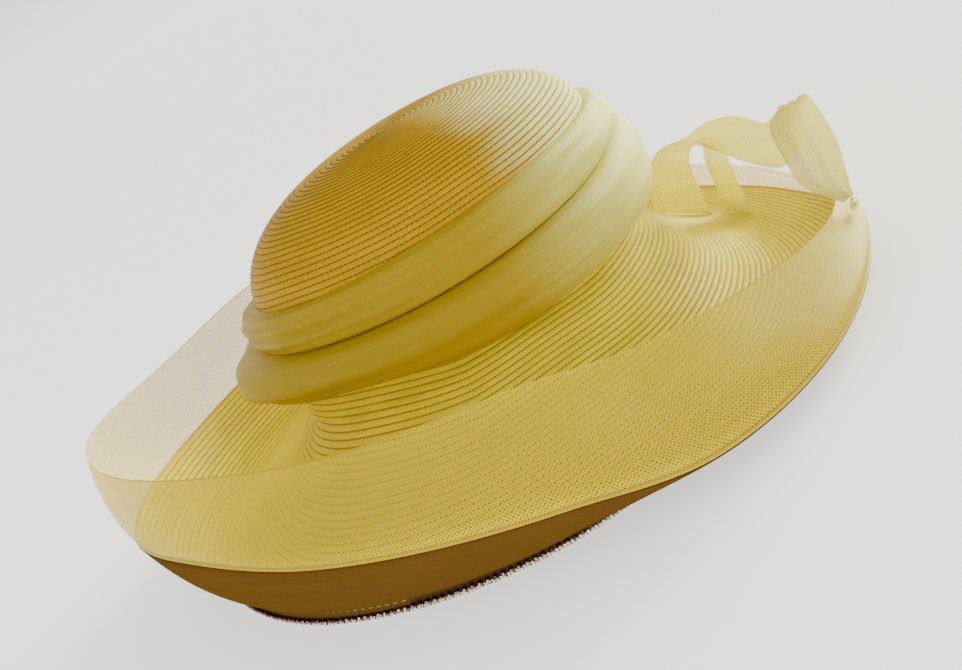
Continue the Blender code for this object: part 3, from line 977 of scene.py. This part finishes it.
def studio_camera():
    lean = Matrix.Rotation(HAT_LEAN, 3, "Y")
    right = Vector((1, 0, 0))
    up = Vector((0, math.sin(EYE_RISE), math.cos(EYE_RISE)))
    back = Vector((0, -math.cos(EYE_RISE), math.sin(EYE_RISE)))
    rolled_right = right * math.cos(EYE_ROLL) - up * math.sin(EYE_ROLL)
    rolled_up = right * math.sin(EYE_ROLL) + up * math.cos(EYE_ROLL)
    eye = Vector((0, 0, AIM_HEIGHT)) + back * EYE_DISTANCE - LEAN_PIVOT
    pose = Matrix((lean @ rolled_right, lean @ rolled_up, lean @ back)).transposed().to_4x4()
    pose.translation = lean @ eye + Vector((0, 0, STAND_LIFT)) + HAT_SHIFT
    data = bpy.data.cameras.new("studio_camera")
    data.sensor_width = SENSOR
    data.lens = FOCAL_PIXELS / FRAME_WIDTH * SENSOR
    data.shift_x = (FRAME_WIDTH / 2 - AIM_PIXEL[0]) / FRAME_WIDTH
    data.shift_y = (AIM_PIXEL[1] - FRAME_HEIGHT / 2) / FRAME_WIDTH
    data.clip_start = 0.01
    camera = bpy.data.objects.new("studio_camera", data)
    camera.matrix_world = pose
    bpy.context.scene.collection.objects.link(camera)
    bpy.context.scene.camera = camera


def studio_sky():
    """A world that is brightest at its horizon."""
    world = bpy.data.worlds.new("studio_world")
    world.use_nodes = True
    background = world.node_tree.nodes["Background"]
    background.inputs["Color"].default_value = SKY_COLOUR
    around = Wire(world.node_tree, None).node("ShaderNodeTexCoord")
    height = around.node("ShaderNodeSeparateXYZ", sockets={"Vector": around}, output=2)
    strength = height.node("ShaderNodeMapRange", {}, {
        "Value": height, "From Min": 0.0, "From Max": SKY_TURNS_AT,
        "To Min": SKY_LOW, "To Max": SKY_HIGH})
    world.node_tree.links.new(strength.socket, background.inputs["Strength"])
    bpy.context.scene.world = world


def studio_floor():
    bpy.ops.object.select_all(action="DESELECT")
    bpy.ops.mesh.primitive_circle_add(vertices=64, radius=FLOOR_RADIUS, fill_type="NGON")
    floor = bpy.context.object
    floor.name = floor.data.name = "studio_floor"
    floor.data.materials.append(floor_finish())


def studio_lamp(name, kind, power, colour, aim):
    data = bpy.data.lights.new(name, kind)
    data.energy = power
    data.color = colour
    lamp = bpy.data.objects.new(name, data)
    lamp.rotation_euler = aim.to_track_quat("-Z", "Y").to_euler()
    bpy.context.scene.collection.objects.link(lamp)
    return lamp


def studio_lights():
    window = studio_lamp("window_light", "SUN", WINDOW_POWER, WINDOW_COLOUR, WINDOW_AIM)
    window.data.angle = WINDOW_ANGLE
    fill = studio_lamp("front_fill", "AREA", FILL_POWER, FILL_COLOUR, FILL_TARGET - FILL_PLACE)
    fill.location = FILL_PLACE
    fill.data.shape = "DISK"
    fill.data.size = FILL_SIZE


crown_piece()
brim_piece()
flange_piece()
facing_piece()
piping_piece()
drape_piece("lower_puff", 0, "lower_drape")
drape_piece("upper_puff", 1, "upper_drape")
ribbon_piece("bow_leaf_ribbon", BOW_BENDS, "bow_ribbon", BOW_LENGTH, gathers=1.5)
ribbon_piece("bow_tail_ribbon", TAIL_BENDS, "bow_tail", TAIL_LENGTH, gathers=0.0)
knot_piece()
chain_pieces()
stitch_piece()
studio_sky()
studio_floor()
studio_lights()
studio_camera()
